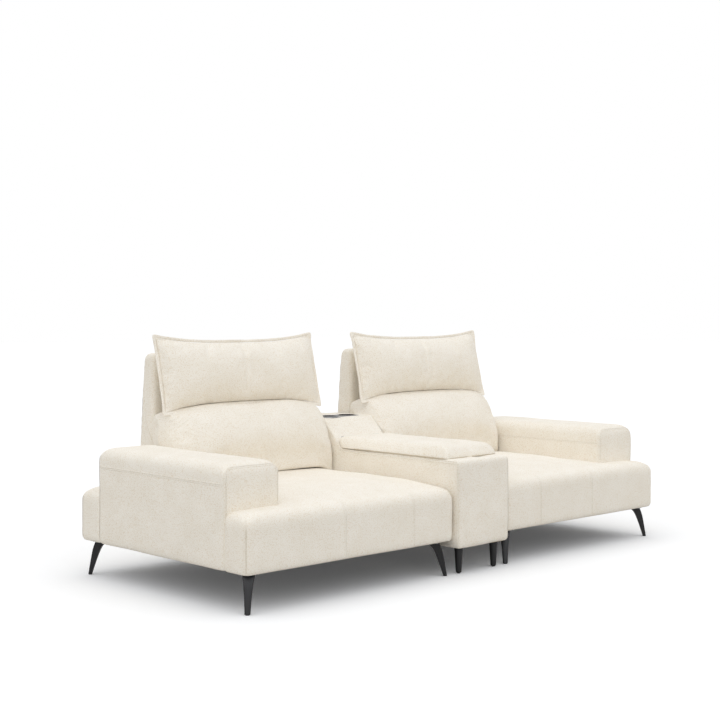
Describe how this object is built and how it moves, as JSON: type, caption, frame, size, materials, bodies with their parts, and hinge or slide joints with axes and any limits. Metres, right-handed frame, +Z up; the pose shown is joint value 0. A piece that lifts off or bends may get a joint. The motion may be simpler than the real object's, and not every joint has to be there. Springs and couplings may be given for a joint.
{
  "type": "sofa with console",
  "caption": "Wide upholstered sofa: seat units with low arms, loose back cushions and tilting head pillows, joined by a storage console with a hinged padded lid and cup wells.",
  "frame": {"origin": "on the floor, at the middle of the bounding box's bottom", "axes": "+Z up, the front of the sofa faces -Y, +X runs along the sofa's width"},
  "size_m": [2.636, 1.183, 1.0563],
  "materials": {
    "ivory_fabric": "matt woven upholstery",
    "foam": "open-cell foam",
    "timber": "raw",
    "black_cloth": "matt non-woven",
    "spring_steel": "zinc plated",
    "black_metal": "satin powder coat",
    "black_plastic": "fine texture",
    "plate_metal": "brushed, anodised",
    "well_steel": "satin"
  },
  "bodies": {
    "base": {"left_seat_cover": "ivory_fabric", "right_seat_cover": "ivory_fabric", "left_seat_frame": "timber", "right_seat_frame": "timber", "left_seat_springs": "spring_steel", "right_seat_springs": "spring_steel", "left_seat_foam": "foam", "right_seat_foam": "foam", "left_arm_cover": "ivory_fabric", "right_arm_cover": "ivory_fabric", "left_arm_frame": "timber", "right_arm_frame": "timber", "left_back_cover": "ivory_fabric", "right_back_cover": "ivory_fabric", "left_back_frame": "timber", "right_back_frame": "timber", "left_back_webbing": "black_cloth", "right_back_webbing": "black_cloth", "left_back_cushion": "ivory_fabric", "right_back_cushion": "ivory_fabric", "left_headrest_cheeks": "black_metal", "right_headrest_cheeks": "black_metal", "left_headrest_pins": "spring_steel", "right_headrest_pins": "spring_steel", "left_dust_cover": "black_cloth", "right_dust_cover": "black_cloth", "left_front_outer_leg": "black_metal", "right_front_outer_leg": "black_metal", "left_front_inner_leg": "black_metal", "right_front_inner_leg": "black_metal", "left_rear_outer_leg": "black_metal", "right_rear_outer_leg": "black_metal", "left_rear_inner_leg": "black_metal", "right_rear_inner_leg": "black_metal", "left_leg_plates": "black_metal", "right_leg_plates": "black_metal", "left_leg_screws": "spring_steel", "right_leg_screws": "spring_steel", "left_leg_glides": "black_plastic", "right_leg_glides": "black_plastic", "console_cover": "ivory_fabric", "console_frame": "timber", "storage_bin": "black_plastic", "lid_hinge_fixed_leaves": "spring_steel", "lid_hinge_pins": "spring_steel", "cup_plate": "plate_metal", "cup_wells": "well_steel", "console_legs": "black_metal", "console_leg_glides": "black_plastic", "console_dust_cover": "black_cloth", "joining_brackets": "black_metal"},
    "left_headrest": {"left_head_pillow": "ivory_fabric", "left_headrest_board": "timber", "left_headrest_arms": "spring_steel"},
    "right_headrest": {"right_head_pillow": "ivory_fabric", "right_headrest_board": "timber", "right_headrest_arms": "spring_steel"},
    "console_lid": {"console_lid_pad": "ivory_fabric", "console_lid_board": "timber", "lid_hinge_moving_leaves": "spring_steel"}
  },
  "joints": [
    {"name": "left_headrest_tilt", "type": "hinge", "parent": "base", "child": "left_headrest", "pos_m": [-0.5925, 0.3855, 0.75], "axis": [1, 0, 0], "range_deg": [0, 20]},
    {"name": "right_headrest_tilt", "type": "hinge", "parent": "base", "child": "right_headrest", "pos_m": [0.5925, 0.3855, 0.75], "axis": [1, 0, 0], "range_deg": [0, 20]},
    {"name": "console_lid_hinge", "type": "hinge", "parent": "base", "child": "console_lid", "pos_m": [0, 0.20956, 0.5464], "axis": [-1, 0, 0], "range_deg": [0, 95]}
  ]
}
